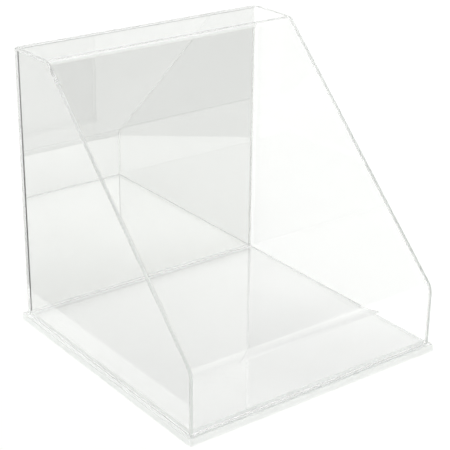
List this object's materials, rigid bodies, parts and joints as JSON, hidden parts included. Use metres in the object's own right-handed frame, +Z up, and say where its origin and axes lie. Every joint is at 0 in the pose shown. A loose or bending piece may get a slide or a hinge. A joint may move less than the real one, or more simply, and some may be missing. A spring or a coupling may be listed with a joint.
{
  "type": "football display case",
  "caption": "Slant-front clear acrylic display case with a mirrored back and a lift-off cover that sits on a separate square base.",
  "frame": {"origin": "middle of the base plate's underside, on the surface that the case stands on", "axes": "+Z up, +X to the case's right seen from its front, +Y to its back; the low front wall faces -Y and the mirror's face looks towards -Y"},
  "size_m": [0.305, 0.305, 0.298],
  "materials": {
    "base_acrylic": "clear cast acrylic plate, polished faces and edges",
    "clear_acrylic": "clear cast acrylic sheet, polished edges",
    "mirror": "clear acrylic mirror, grey painted back"
  },
  "bodies": {
    "base": {"base_plate": "base_acrylic", "locating_plate": "base_acrylic"},
    "cover": {"left_side_panel": "clear_acrylic", "right_side_panel": "clear_acrylic", "front_sheet": "clear_acrylic", "back_panel": "clear_acrylic", "mirror_panel": "mirror"}
  },
  "joints": [
    {"name": "cover_lift", "type": "slide", "parent": "base", "child": "cover", "axis": [0, 0, 1], "range_m": [0, 0.3]}
  ]
}
